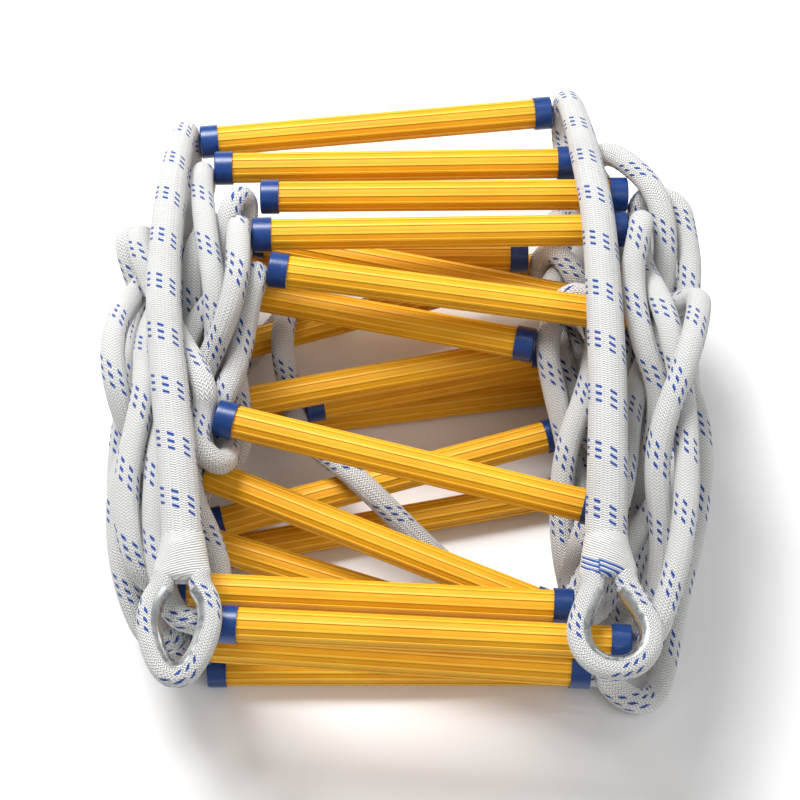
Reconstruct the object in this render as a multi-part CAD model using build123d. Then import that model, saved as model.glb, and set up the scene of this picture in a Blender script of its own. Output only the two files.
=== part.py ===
from build123d import *
import math
import os

import numpy as np

# Escape rope ladder, folded zigzag into a bundle that lies on the floor, millimetres, +Z up.
# The rungs run along X and the rope strands along Y. -Y is the near side, where the two eyes lie.
# The origin is on the floor, under the middle of the rungs.

# ---- Driving dimensions -------------------------------------------------------------------
RUNG_LENGTH = 300.0       # over the two end caps
TUBE_D = 25.0             # ribbed plastic tube, over its ribs
TUBE_BORE = 19.0
RIB_COUNT = 12
RIB_WIDTH = 1.6
RIB_HEIGHT = 0.7
CAP_D = 28.0
CAP_LENGTH = 15.0
CAP_END_WALL = 3.0
CAP_CLEARANCE = 0.1       # between the tube and the cap's sleeve
CAP_EDGE_R = 1.5
TIE_D = 8.0               # tie cord that runs through a rung from one side rope to the other
TIE_HOLE_D = 9.0
ROPE_D = 19.0             # side rope
ROPE_GAP = 0.3            # between a cap's end face and the rope that abuts it
SPACING = 370.0           # rope from one rung to the next
TAIL_D = 28.0             # tail, where the rope's end is spliced back along it
TAPER = 30.0              # length over which the tail thickens from ROPE_D to TAIL_D
THROAT_LENGTH = 20.0      # bound throat of an eye: round on the tail side, wide on the eye side
THROAT_WIDTH = 40.0
THROAT_HEIGHT = 21.0
EYE_ROPE_D = 14.5         # rope stretched round a thimble
THIMBLE_WALL = 1.8
THIMBLE_CLEARANCE = 0.2
THIMBLE_WRAP = 72.0       # degrees of the rope's section that the groove covers, each way
WHIPPING_LENGTH = 20.0
WHIPPING_WALL = 1.2
WHIPPING_CLEARANCE = 0.1
HINGE_CLEARANCE = 0.4     # between the tail's ball end and the side rope below it
THIMBLE_START = 3.0       # from the corner of an eye's leg to the end of the thimble
ARC_SHARE = 0.45          # part of the shorter run that an arc takes

# ---- Rungs, in the order in which the rope reaches them, from the eyes to the bottom end ----
# centre x, y, z, yaw about Z, rise of the right end (degrees), and the end of the bundle where
# the rope turns back at this rung: FAR (+Y) or NEAR (-Y).
FAR = 1
NEAR = -1
RUNGS = [
    (-33, 232, 120, 6.0, 0, FAR),
    (-7, -105, 157, -14.0, -2, NEAR),
    (-17, 182, 135, 1.0, 0, FAR),
    (-37, -147, 113, -22.0, -3, NEAR),
    (23, 144, 147, 0.5, 0, FAR),
    (-35, -206, 137, -3.0, 0, NEAR),
    (19, 100, 160, 1.0, 0, FAR),
    (4, -240, 152, -3.0, 0, NEAR),
    (32, 44, 157, -7.0, -3, FAR),
    (-20, -237, 95, -4.0, 0, NEAR),
    (9, 92, 112, -12.5, 0, FAR),
    (-33, -176, 72, -17.0, -3, NEAR),
    (-51, 53, 112, -13.5, 3, FAR),
    (-15, -217, 14, 0.0, 0, NEAR),
    (-55, 128, 80, 0.0, 0, FAR),
    (-19, -89, 14, 11.0, 0, NEAR),
    (-20, 100, 45, 16.0, 2, FAR),
    (-25, -67, 50, 15.0, 3, NEAR),
    (-40, 8, 80, 10.0, 3, FAR),
    (-15, 17, 14, 8.0, 0, NEAR),
    (55, 31, 50, 12.0, 0, FAR),
]

# Spans whose slack lies in its own way: rung reached, how far the left and the right strand
# bow outwards on the way there, and how far each runs on past the rung before it turns.
BOW = 16.0
SLACK = {
    3: (10, 16, 0, 0),
    4: (20, 30, 0, 0),
    5: (4, 8, 0, 38),
    7: (-4, 10, 0, 32),
    8: (20, 60, 0, 0),
    9: (16, 16, 0, 0),
    10: (40, 30, 0, 0),
}
# Spans whose slack runs on past the rung that they leave, by rung reached and side.
LEFT = -1
RIGHT = 1
SLACK_FIRST = {(3, LEFT), (5, LEFT)}
SEED = 7                  # of the small shake that the settling starts from
HALF_WIDTH = {LEFT: 238, RIGHT: 222}    # the lines are gathered in to about this far out
GATHER = 0.3              # part of what is further out that each step takes back
PASSING_GAP = 1.0         # between a line and what it is pushed clear of
FLOOR_GAP = 0.3
SHORT_FOLD = 18.0         # less slack than this past a rung isn't laid as a bight

# Free bottom ends of the two side ropes, past the last rung.
LEFT_END = [(-91, -55, 60), (-77, -83, 62), (-53, -103, 63), (-17, -109, 64), (19, -119, 65),
            (49, -139, 64), (67, -165, 60)]
RIGHT_END = [(197, -35, 50), (187, -95, 40), (179, -145, 30)]

# Tails, from just above the first rung's ends to the throats of the eyes.
TAILS = {
    LEFT: [(-193, 219, 138), (-196, 177, 157), (-198, 104, 178), (-196, 21, 190),
           (-187, -51, 191), (-177, -117, 187), (-170, -185, 181)],
    RIGHT: [(129, 251, 138), (135, 207, 158), (140, 145, 178), (144, 90, 191), (144, -26, 192),
            (141, -110, 188), (136, -185, 181)],
}
# Eyes: heading from the tail, in degrees to the right, height of the eye's plane, and half of the
# rope's outline round the thimble, as (out from the middle, along from the throat). The left
# thimble is drawn out of shape to a blunt point.
EYE_Z = 180.0
EYE_HEADING = {LEFT: 0.0, RIGHT: 3.0}
EYE_OUTLINE = {
    LEFT: [(12.5, 0), (12.5, 8), (20.5, 20), (22.8, 38), (17, 60), (6.5, 77)],
    RIGHT: [(11.5, 0), (11.5, 9), (19.5, 24), (27, 42), (23.5, 60), (9.5, 71.9)],
}

X_AXIS = np.array([1.0, 0.0, 0.0])
Y_AXIS = np.array([0.0, 1.0, 0.0])
Z_AXIS = np.array([0.0, 0.0, 1.0])


def rung_direction(yaw, rise):
    """Unit vector from a rung's left end to its right end."""
    yaw, rise = math.radians(yaw), math.radians(rise)
    return np.array([math.cos(yaw) * math.cos(rise), math.sin(yaw) * math.cos(rise), math.sin(rise)])


CENTRES = np.array([row[:3] for row in RUNGS], float)
DIRECTIONS = np.array([rung_direction(row[3], row[4]) for row in RUNGS])
TURNS = [row[5] for row in RUNGS]


# ---- Route of a side rope -----------------------------------------------------------------
FOLD_STEP = 21.0          # a fold is three corners of about 60 degrees, this far apart across
FOLD_RISE = 12.0          # and this far apart along the strands
RUN = 70.0                # usual run of a strand between folds
END_SHARE = 0.8            # length of the run beside a fold, as a part of the next one


def contact_points(side):
    """Where the rope's centreline passes each rung's end."""
    return CENTRES + DIRECTIONS * side * (RUNG_LENGTH / 2 + ROPE_GAP + ROPE_D / 2)


def fold(centre, across, turn, reach):
    """Corners of a fold that turns back past a rung's end, from the strand above to the one below."""
    return [centre + across * 2 * FOLD_STEP + turn * reach,
            centre + across * FOLD_STEP + turn * (reach + FOLD_RISE),
            centre + turn * reach]


def laid_route(side):
    """First lay of the rope: strands between the rungs, with each fold above and outside the last."""
    contacts = contact_points(side)
    across = np.array([side * 0.6, 0.0, 0.8])
    down = -(Z_AXIS * FOLD_STEP + Y_AXIS * FOLD_RISE)
    down -= DIRECTIONS[0] * (down @ DIRECTIONS[0])
    start = contacts[0] + down / np.linalg.norm(down) * (ROPE_D / 2 + HINGE_CLEARANCE)
    points = [start, start + down]
    pinned = [0]
    for k in range(1, len(RUNGS)):
        turn = TURNS[k] * Y_AXIS
        row = SLACK.get(k + 1, (BOW, BOW, 0, 0))
        bow, past = (row[0], row[2]) if side == LEFT else (row[1], row[3])
        spare = SPACING - 2.5 * ROPE_D - abs(contacts[k][1] - contacts[k - 1][1])
        past = max(past, spare / 2)
        first = (k + 1, side) in SLACK_FIRST
        if first:
            points.pop()
            points += fold(contacts[k - 1] - across * 2 * FOLD_STEP, across, -turn, past - FOLD_RISE)
        if past >= SHORT_FOLD and not first and (k + 2, side) not in SLACK_FIRST:
            reach = max(past - FOLD_RISE, FOLD_RISE)
            bend = fold(contacts[k], across, turn, reach)
            if reach > 3 * ROPE_D:
                bend.append(contacts[k] + turn * reach / 2)
            leaving = contacts[k] - turn * 26
        else:
            bend = [contacts[k] + across * FOLD_STEP - turn * FOLD_RISE]
            leaving = contacts[k] - Z_AXIS * FOLD_STEP - turn * FOLD_RISE
        begin = points[-1]
        steps = max(2, round(np.linalg.norm(bend[0] - begin) / RUN))
        shares = np.ones(steps)
        shares[[0, -1]] = END_SHARE
        for t in np.cumsum(shares)[:-1] / shares.sum():
            points.append(begin * (1 - t) + bend[0] * t + X_AXIS * side * bow * 4 * t * (1 - t))
        points += bend + [contacts[k]]
        pinned.append(len(points) - 1)
        points.append(leaving)
    points += [np.array(p, float) for p in (LEFT_END if side == LEFT else RIGHT_END)]
    return np.array(points), np.array(pinned)


def closest(p, d, q, e):
    """Closest points of segments p..p+d and q..q+e, as fractions, and the gap between them."""
    r = p - q
    dd, ee, de = (d * d).sum(-1), (e * e).sum(-1), (d * e).sum(-1)
    dr, er = (d * r).sum(-1), (e * r).sum(-1)
    s = np.clip((de * er - dr * ee) / np.maximum(dd * ee - de * de, 1e-9), 0, 1)
    t = np.clip((de * s + er) / ee, 0, 1)
    s = np.clip((de * t - dr) / dd, 0, 1)
    gap = r + d * s[:, None] - e * t[:, None]
    return s[:, None], t[:, None], gap


def smoothing(run):
    """Matrix from a route's points to points on its smooth line: two for each point."""
    count = len(run) + 1
    weights = np.zeros((2 * count - 1, count))
    weights[0, 0] = weights[-1, -1] = 1
    for i in range(1, count - 1):
        before, after = min(run[i - 1], run[i]) / run[i - 1:i + 1] / 8
        weights[2 * i, i - 1:i + 2] = (before, 1 - before - after, after)
    for i in range(count - 1):
        weights[2 * i + 1, i:i + 2] = 1 / 2
    return weights


def eye_outline(side):
    """Corners of the rope's line round a thimble, from one leg at the throat to the other."""
    half = EYE_OUTLINE[side]
    mirrored = [(-u, v) for u, v in half[::-1]]
    heading = math.radians(EYE_HEADING[side])
    along = Y_AXIS * -math.cos(heading) + X_AXIS * math.sin(heading)
    out = X_AXIS * math.cos(heading) + Y_AXIS * math.sin(heading)
    throat = np.array(TAILS[side][-1], float) + along * THROAT_LENGTH
    throat[2] = EYE_Z
    return [throat + out * u + along * v for u, v in half + mirrored]


def settled_route(side, rounds=1600):
    """Lets the strands sink a little and push each other, the rungs, the tail and the eye clear."""
    tail = TAILS[side] + eye_outline(side)
    points, pinned = laid_route(side)
    count = len(points)
    loose = np.ones((count, 1))
    loose[pinned] = 0
    loose[1] = 0
    run = np.linalg.norm(np.diff(points, axis=0), axis=1)
    for a, b in zip(pinned[:-1], pinned[1:]):
        span = run[a:b]
        short = span < 30
        span[~short] *= (SPACING - span[short].sum()) / span[~short].sum()
    sharpest = np.minimum(math.radians(75), 2 * np.arctan(0.45 * np.minimum(run[1:], run[:-1]) / 18))
    chord = np.sqrt(run[1:] ** 2 + run[:-1] ** 2 + 2 * run[1:] * run[:-1] * np.cos(sharpest))
    weights = smoothing(run)
    pieces = len(weights) - 1
    strand_a, strand_b = np.triu_indices(pieces, 7)
    bars = np.vstack([CENTRES - DIRECTIONS * (RUNG_LENGTH / 2 - 6), np.array(tail[:-1], float)])
    bar_runs = np.vstack([DIRECTIONS * (RUNG_LENGTH - 12), np.diff(np.array(tail, float), axis=0)])
    radii = [CAP_D / 2] * len(RUNGS) + [TAIL_D / 2] * (len(TAILS[side]) - 1)
    radii += [(TAIL_D + THROAT_WIDTH) / 4]
    radii += [EYE_ROPE_D / 2 + THIMBLE_WALL] * (len(tail) - len(TAILS[side]) - 1)
    reach = np.array(radii) + ROPE_D / 2 + PASSING_GAP
    floor = np.full(count, ROPE_D / 2 + FLOOR_GAP)
    floor[-3:] += WHIPPING_WALL + WHIPPING_CLEARANCE
    piece, bar = np.divmod(np.arange(pieces * len(bars)), len(bars))
    own = np.zeros(len(piece), bool)
    for k, p in enumerate(pinned):
        own |= (bar == k) & (piece >= 2 * p - 4) & (piece < 2 * p + 4)
    own |= (bar == len(RUNGS)) & (piece < 6)
    piece, bar = piece[~own], bar[~own]
    points = points + np.random.default_rng(SEED).normal(0, 0.5, points.shape) * loose
    apart = ROPE_D + 1.2
    for step in range(rounds):
        if step < rounds * 0.4:
            points[:, 2] -= 0.12 * loose[:, 0]
            bend = (points[2:] * run[:-1, None] + points[:-2] * run[1:, None]) / (run[1:] + run[:-1])[:, None]
            points[1:-1] += 0.05 * (bend - points[1:-1]) * loose[1:-1]
        give = 0.5 if step < rounds * 0.6 else 0.12
        d = np.diff(points, axis=0)
        move = d * (1 - run[:, None] / np.linalg.norm(d, axis=1)[:, None]) * give
        points[:-1] += move * loose[:-1]
        points[1:] -= move * loose[1:]
        d = points[2:] - points[:-2]
        length = np.linalg.norm(d, axis=1)
        move = d * (np.minimum(0, length - chord) / length * 0.5)[:, None]
        points[:-2] += move * loose[:-2]
        points[2:] -= move * loose[2:]
        line = weights @ points
        d = np.diff(line, axis=0)
        if step % 20 == 0:
            middle = line[:-1] + d / 2
            half = np.linalg.norm(d, axis=1) / 2
            gap = np.linalg.norm(middle[strand_a] - middle[strand_b], axis=1)
            near = gap < half[strand_a] + half[strand_b] + apart + 14
            a, b = strand_a[near], strand_b[near]
            _, _, gap = closest(line[piece], d[piece], bars[bar], bar_runs[bar])
            near = np.linalg.norm(gap, axis=1) < reach[bar] + 14
            pc, br = piece[near], bar[near]
        push = np.zeros_like(line)
        s, t, gap = closest(line[a], d[a], line[b], d[b])
        dist = np.linalg.norm(gap, axis=1)[:, None]
        gap = gap / dist * np.maximum(0, apart - dist) / 2
        np.add.at(push, a, gap * (1 - s))
        np.add.at(push, a + 1, gap * s)
        np.add.at(push, b, -gap * (1 - t))
        np.add.at(push, b + 1, -gap * t)
        s, t, gap = closest(line[pc], d[pc], bars[br], bar_runs[br])
        dist = np.linalg.norm(gap, axis=1)[:, None]
        gap = gap / dist * np.maximum(0, reach[br][:, None] - dist)
        np.add.at(push, pc, gap * (1 - s))
        np.add.at(push, pc + 1, gap * s)
        points += (weights.T @ push) * loose
        for k, p in enumerate(pinned):
            for q in (p - 2, p - 1, p + 1, p + 2):
                if 0 <= q < count:
                    outward = (points[q] - points[p]) @ DIRECTIONS[k] * side
                    offset = points[q] - points[p] - outward * side * DIRECTIONS[k]
                    if outward < 0 and (abs(q - p) == 1 or np.linalg.norm(offset) < 32):
                        points[q] -= outward * side * DIRECTIONS[k] * loose[q]
        points[:, 2] = np.maximum(points[:, 2], floor)
        points[:, 0] -= side * GATHER * np.maximum(0, points[:, 0] * side - HALF_WIDTH[side])
    return points, pinned


# ---- Solids -------------------------------------------------------------------------------
def rounded_path(points):
    """Straight runs joined by arcs as large as the runs allow, with the arcs' radii."""
    corners = [Vector(*p) for p in points]
    radii = []
    for a, b, c in zip(corners, corners[1:], corners[2:]):
        turn = math.radians((b - a).get_angle(c - b))
        radii.append(ARC_SHARE * min((b - a).length, (c - b).length) / math.tan(turn / 2))
    return FilletPolyline(*corners, radius=radii), radii


def tube(points, diameter):
    """Round tube along a rounded path; says how tight it is and checks its volume."""
    path, radii = rounded_path(points)
    longest = np.linalg.norm(np.diff(points, axis=0), axis=1).max()
    section = Plane(origin=path @ 0, z_dir=path % 0) * Circle(diameter / 2)
    solid = sweep(section, path=path)
    expected = math.pi * diameter ** 2 / 4 * path.length
    print(f"  {path.length:.0f} mm of {diameter:.0f} mm rope, radii from {min(radii):.0f} mm,"
          f" longest run {longest:.0f} mm, volume ratio {solid.volume / expected:.4f}")
    return solid, path


def rung_place(k):
    """Frame at a rung's middle, with Z along the rung to the right."""
    return Plane(origin=Vector(*CENTRES[k]), x_dir=Vector(0, 0, 1).cross(Vector(*DIRECTIONS[k])),
                 z_dir=Vector(*DIRECTIONS[k]))


def make_tube():
    """Ribbed plastic tube, which ends against the caps' end walls."""
    profile = Circle(TUBE_D / 2 - RIB_HEIGHT)
    for spot in PolarLocations(TUBE_D / 2 - RIB_HEIGHT, RIB_COUNT):
        profile += spot * Rectangle(2 * RIB_HEIGHT, RIB_WIDTH)
    profile -= Circle(TUBE_BORE / 2)
    return extrude(profile, amount=RUNG_LENGTH / 2 - CAP_END_WALL, both=True)


def make_cap():
    """End cap at the right end of a rung: a cup over the tube, with a hole for the tie cord."""
    outside = Cylinder(CAP_D / 2, CAP_LENGTH)
    outside = fillet(outside.edges().sort_by(Axis.Z)[-1], CAP_EDGE_R)
    socket = Cylinder(TUBE_D / 2 + CAP_CLEARANCE, CAP_LENGTH)
    cap = outside - Pos(0, 0, -CAP_END_WALL) * socket - Cylinder(TIE_HOLE_D / 2, 2 * CAP_LENGTH)
    return Pos(0, 0, RUNG_LENGTH / 2 - CAP_LENGTH / 2) * cap


def make_tail(side):
    """Tail of a rope: a round end at the hinge by the first rung, a taper, and the spliced part."""
    hinge = contact_points(side)[0]
    corners = np.array(TAILS[side], float)
    forward = corners[2] - corners[1]
    forward /= np.linalg.norm(forward)
    thin_part, _ = tube([hinge, corners[0], corners[1]], ROPE_D)
    taper = Plane(origin=Vector(*(corners[1] + forward * TAPER / 2)), z_dir=Vector(*forward))
    taper_part = taper * Cone(ROPE_D / 2, TAIL_D / 2, TAPER)
    thick_part, _ = tube([corners[1] + forward * TAPER, *corners[2:]], TAIL_D)
    ends = Pos(*hinge) * Sphere(ROPE_D / 2) + Pos(*corners[1]) * Sphere(ROPE_D / 2)
    return thin_part + ends + taper_part + thick_part


def make_eye(side):
    """Rope round the thimble, the grooved thimble, and the bound throat that joins them to the tail."""
    corners = eye_outline(side)
    rope, _ = tube(corners, EYE_ROPE_D)
    tail_end = Vector(*TAILS[side][-1])
    tail_run = tail_end - Vector(*TAILS[side][-2])
    throat_end = Vector(*(corners[0] + corners[-1]) / 2)
    along = Vector(*(corners[1] - corners[0])).normalized()
    narrow = Plane(origin=tail_end, x_dir=(1, 0, 0), z_dir=tail_run) * Circle(TAIL_D / 2 + 1)
    wide = Plane(origin=throat_end, x_dir=along.cross(Vector(0, 0, 1)), z_dir=along)
    throat = loft([narrow, wide * Ellipse(THROAT_WIDTH / 2, THROAT_HEIGHT / 2)])
    # The thimble leaves the throat where its two ends clear each other.
    lead = (corners[2] - corners[1]) / np.linalg.norm(corners[2] - corners[1]) * THIMBLE_START
    tail = (corners[-3] - corners[-2]) / np.linalg.norm(corners[-3] - corners[-2]) * THIMBLE_START
    path, _ = rounded_path([corners[1] + lead, *corners[2:-2], corners[-2] + tail])
    inside = EYE_ROPE_D / 2 + THIMBLE_CLEARANCE
    wall = Circle(inside + THIMBLE_WALL) - Circle(inside)
    wedge = Polyline((0, 0), *[(50 * math.sin(math.radians(a)), 50 * math.cos(math.radians(a)))
                               for a in (-THIMBLE_WRAP, 0, THIMBLE_WRAP)], (0, 0))
    groove = wall & make_face(wedge)
    place = Plane(origin=path @ 0, x_dir=(0, 0, 1), z_dir=path % 0)
    thimble = sweep(place * groove, path=path)
    return rope, thimble, throat


def make_whipping(path):
    """Whipping round the last stretch of a rope."""
    bore = Circle(ROPE_D / 2 + WHIPPING_CLEARANCE)
    sleeve = extrude(Circle(ROPE_D / 2 + WHIPPING_CLEARANCE + WHIPPING_WALL) - bore, WHIPPING_LENGTH)
    return Plane(origin=path @ 1, z_dir=-(path % 1)) * sleeve


def write(shape, node):
    export_step(shape, f"parts/{node}.step")


os.makedirs("parts", exist_ok=True)
tube_shape = make_tube()
right_cap = make_cap()
left_cap = Rot(0, 180, 0) * right_cap
ties = []
for k in range(len(RUNGS)):
    place = rung_place(k)
    write(place * tube_shape, f"rung_{k + 1:02d}_tube")
    write(Compound([place * left_cap, place * right_cap]), f"rung_{k + 1:02d}_end_caps")
    ties.append(place * Cylinder(TIE_D / 2, RUNG_LENGTH))
write(Compound(ties), "rung_tie_cords")

for side, name in ((LEFT, "left"), (RIGHT, "right")):
    print(name)
    route, pinned = settled_route(side)
    lengths = np.linalg.norm(np.diff(route, axis=0), axis=1)
    print("  rung to rung", [round(lengths[a:b].sum()) for a, b in zip(pinned[:-1], pinned[1:])])
    rope, rope_path = tube(route, ROPE_D)
    write(rope, f"{name}_side_rope")
    write(make_whipping(rope_path), f"{name}_end_whipping")
    write(make_tail(side), f"{name}_tail_rope")
    eye_rope, thimble, throat = make_eye(side)
    write(eye_rope, f"{name}_eye_rope")
    write(thimble, f"{name}_thimble")
    write(throat, f"{name}_throat_binding")
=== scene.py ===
import math

import bpy
import numpy as np
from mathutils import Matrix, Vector, kdtree


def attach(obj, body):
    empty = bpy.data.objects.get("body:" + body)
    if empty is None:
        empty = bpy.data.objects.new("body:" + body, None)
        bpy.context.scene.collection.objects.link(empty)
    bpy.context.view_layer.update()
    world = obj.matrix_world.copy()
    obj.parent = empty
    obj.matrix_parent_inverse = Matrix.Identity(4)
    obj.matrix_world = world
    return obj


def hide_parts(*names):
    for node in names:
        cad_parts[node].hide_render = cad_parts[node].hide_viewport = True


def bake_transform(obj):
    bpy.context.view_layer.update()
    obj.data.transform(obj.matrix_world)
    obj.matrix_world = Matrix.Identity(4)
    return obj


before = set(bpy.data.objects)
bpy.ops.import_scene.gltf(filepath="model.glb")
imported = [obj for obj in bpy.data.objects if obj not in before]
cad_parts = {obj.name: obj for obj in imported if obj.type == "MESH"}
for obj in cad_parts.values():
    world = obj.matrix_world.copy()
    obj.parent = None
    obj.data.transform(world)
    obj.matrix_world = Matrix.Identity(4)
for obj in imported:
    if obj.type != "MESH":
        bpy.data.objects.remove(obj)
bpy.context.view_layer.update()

# Escape rope ladder folded into a bundle. The routes of the ropes are worked out first, in
# millimetres, as part.py does; the pieces are then built in metres.

# ---- Sizes shared with the CAD model, in millimetres --------------------------------------
RUNG_LENGTH = 300.0
TUBE_D = 25.0
RIB_COUNT = 12
CAP_D = 28.0
CAP_LENGTH = 15.0
ROPE_D = 19.0
ROPE_GAP = 0.3
SPACING = 370.0
TAIL_D = 28.0
THROAT_LENGTH = 20.0
THROAT_WIDTH = 40.0
EYE_ROPE_D = 14.5
THIMBLE_WALL = 1.8
WHIPPING_LENGTH = 20.0
WHIPPING_WALL = 1.2
WHIPPING_CLEARANCE = 0.1
HINGE_CLEARANCE = 0.4

# ---- Rungs, in the order in which the rope reaches them, from the eyes to the bottom end ----
# centre x, y, z, yaw about Z, rise of the right end (degrees), and the end of the bundle where
# the rope turns back at this rung: FAR (+Y) or NEAR (-Y).
FAR = 1
NEAR = -1
RUNGS = [
    (-33, 232, 120, 6.0, 0, FAR),
    (-7, -105, 157, -14.0, -2, NEAR),
    (-17, 182, 135, 1.0, 0, FAR),
    (-37, -147, 113, -22.0, -3, NEAR),
    (23, 144, 147, 0.5, 0, FAR),
    (-35, -206, 137, -3.0, 0, NEAR),
    (19, 100, 160, 1.0, 0, FAR),
    (4, -240, 152, -3.0, 0, NEAR),
    (32, 44, 157, -7.0, -3, FAR),
    (-20, -237, 95, -4.0, 0, NEAR),
    (9, 92, 112, -12.5, 0, FAR),
    (-33, -176, 72, -17.0, -3, NEAR),
    (-51, 53, 112, -13.5, 3, FAR),
    (-15, -217, 14, 0.0, 0, NEAR),
    (-55, 128, 80, 0.0, 0, FAR),
    (-19, -89, 14, 11.0, 0, NEAR),
    (-20, 100, 45, 16.0, 2, FAR),
    (-25, -67, 50, 15.0, 3, NEAR),
    (-40, 8, 80, 10.0, 3, FAR),
    (-15, 17, 14, 8.0, 0, NEAR),
    (55, 31, 50, 12.0, 0, FAR),
]

# Spans whose slack lies in its own way: rung reached, how far the left and the right strand
# bow outwards on the way there, and how far each runs on past the rung before it turns.
BOW = 16.0
SLACK = {
    3: (10, 16, 0, 0),
    4: (20, 30, 0, 0),
    5: (4, 8, 0, 38),
    7: (-4, 10, 0, 32),
    8: (20, 60, 0, 0),
    9: (16, 16, 0, 0),
    10: (40, 30, 0, 0),
}
# Spans whose slack runs on past the rung that they leave, by rung reached and side.
LEFT = -1
RIGHT = 1
SLACK_FIRST = {(3, LEFT), (5, LEFT)}
SEED = 7                  # of the small shake that the settling starts from
HALF_WIDTH = {LEFT: 238, RIGHT: 222}    # the lines are gathered in to about this far out
GATHER = 0.3              # part of what is further out that each step takes back
PASSING_GAP = 1.0         # between a line and what it is pushed clear of
FLOOR_GAP = 0.3
SHORT_FOLD = 18.0         # less slack than this past a rung isn't laid as a bight

# Free bottom ends of the two side ropes, past the last rung.
LEFT_END = [(-91, -55, 60), (-77, -83, 62), (-53, -103, 63), (-17, -109, 64), (19, -119, 65),
            (49, -139, 64), (67, -165, 60)]
RIGHT_END = [(197, -35, 50), (187, -95, 40), (179, -145, 30)]

# Tails, from just above the first rung's ends to the throats of the eyes.
TAILS = {
    LEFT: [(-193, 219, 138), (-196, 177, 157), (-198, 104, 178), (-196, 21, 190),
           (-187, -51, 191), (-177, -117, 187), (-170, -185, 181)],
    RIGHT: [(129, 251, 138), (135, 207, 158), (140, 145, 178), (144, 90, 191), (144, -26, 192),
            (141, -110, 188), (136, -185, 181)],
}
# Eyes: heading from the tail, in degrees to the right, height of the eye's plane, and half of the
# rope's outline round the thimble, as (out from the middle, along from the throat). The left
# thimble is drawn out of shape to a blunt point.
EYE_Z = 180.0
EYE_HEADING = {LEFT: 0.0, RIGHT: 3.0}
EYE_OUTLINE = {
    LEFT: [(12.5, 0), (12.5, 8), (20.5, 20), (22.8, 38), (17, 60), (6.5, 77)],
    RIGHT: [(11.5, 0), (11.5, 9), (19.5, 24), (27, 42), (23.5, 60), (9.5, 71.9)],
}

X_AXIS = np.array([1.0, 0.0, 0.0])
Y_AXIS = np.array([0.0, 1.0, 0.0])
Z_AXIS = np.array([0.0, 0.0, 1.0])


def rung_direction(yaw, rise):
    """Unit vector from a rung's left end to its right end."""
    yaw, rise = math.radians(yaw), math.radians(rise)
    return np.array([math.cos(yaw) * math.cos(rise), math.sin(yaw) * math.cos(rise), math.sin(rise)])


CENTRES = np.array([row[:3] for row in RUNGS], float)
DIRECTIONS = np.array([rung_direction(row[3], row[4]) for row in RUNGS])
TURNS = [row[5] for row in RUNGS]


# ---- Route of a side rope -----------------------------------------------------------------
FOLD_STEP = 21.0          # a fold is three corners of about 60 degrees, this far apart across
FOLD_RISE = 12.0          # and this far apart along the strands
RUN = 70.0                # usual run of a strand between folds
END_SHARE = 0.8            # length of the run beside a fold, as a part of the next one


def contact_points(side):
    """Where the rope's centreline passes each rung's end."""
    return CENTRES + DIRECTIONS * side * (RUNG_LENGTH / 2 + ROPE_GAP + ROPE_D / 2)


def fold(centre, across, turn, reach):
    """Corners of a fold that turns back past a rung's end, from the strand above to the one below."""
    return [centre + across * 2 * FOLD_STEP + turn * reach,
            centre + across * FOLD_STEP + turn * (reach + FOLD_RISE),
            centre + turn * reach]


def laid_route(side):
    """First lay of the rope: strands between the rungs, with each fold above and outside the last."""
    contacts = contact_points(side)
    across = np.array([side * 0.6, 0.0, 0.8])
    down = -(Z_AXIS * FOLD_STEP + Y_AXIS * FOLD_RISE)
    down -= DIRECTIONS[0] * (down @ DIRECTIONS[0])
    start = contacts[0] + down / np.linalg.norm(down) * (ROPE_D / 2 + HINGE_CLEARANCE)
    points = [start, start + down]
    pinned = [0]
    for k in range(1, len(RUNGS)):
        turn = TURNS[k] * Y_AXIS
        row = SLACK.get(k + 1, (BOW, BOW, 0, 0))
        bow, past = (row[0], row[2]) if side == LEFT else (row[1], row[3])
        spare = SPACING - 2.5 * ROPE_D - abs(contacts[k][1] - contacts[k - 1][1])
        past = max(past, spare / 2)
        first = (k + 1, side) in SLACK_FIRST
        if first:
            points.pop()
            points += fold(contacts[k - 1] - across * 2 * FOLD_STEP, across, -turn, past - FOLD_RISE)
        if past >= SHORT_FOLD and not first and (k + 2, side) not in SLACK_FIRST:
            reach = max(past - FOLD_RISE, FOLD_RISE)
            bend = fold(contacts[k], across, turn, reach)
            if reach > 3 * ROPE_D:
                bend.append(contacts[k] + turn * reach / 2)
            leaving = contacts[k] - turn * 26
        else:
            bend = [contacts[k] + across * FOLD_STEP - turn * FOLD_RISE]
            leaving = contacts[k] - Z_AXIS * FOLD_STEP - turn * FOLD_RISE
        begin = points[-1]
        steps = max(2, round(np.linalg.norm(bend[0] - begin) / RUN))
        shares = np.ones(steps)
        shares[[0, -1]] = END_SHARE
        for t in np.cumsum(shares)[:-1] / shares.sum():
            points.append(begin * (1 - t) + bend[0] * t + X_AXIS * side * bow * 4 * t * (1 - t))
        points += bend + [contacts[k]]
        pinned.append(len(points) - 1)
        points.append(leaving)
    points += [np.array(p, float) for p in (LEFT_END if side == LEFT else RIGHT_END)]
    return np.array(points), np.array(pinned)


def closest(p, d, q, e):
    """Closest points of segments p..p+d and q..q+e, as fractions, and the gap between them."""
    r = p - q
    dd, ee, de = (d * d).sum(-1), (e * e).sum(-1), (d * e).sum(-1)
    dr, er = (d * r).sum(-1), (e * r).sum(-1)
    s = np.clip((de * er - dr * ee) / np.maximum(dd * ee - de * de, 1e-9), 0, 1)
    t = np.clip((de * s + er) / ee, 0, 1)
    s = np.clip((de * t - dr) / dd, 0, 1)
    gap = r + d * s[:, None] - e * t[:, None]
    return s[:, None], t[:, None], gap


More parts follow.
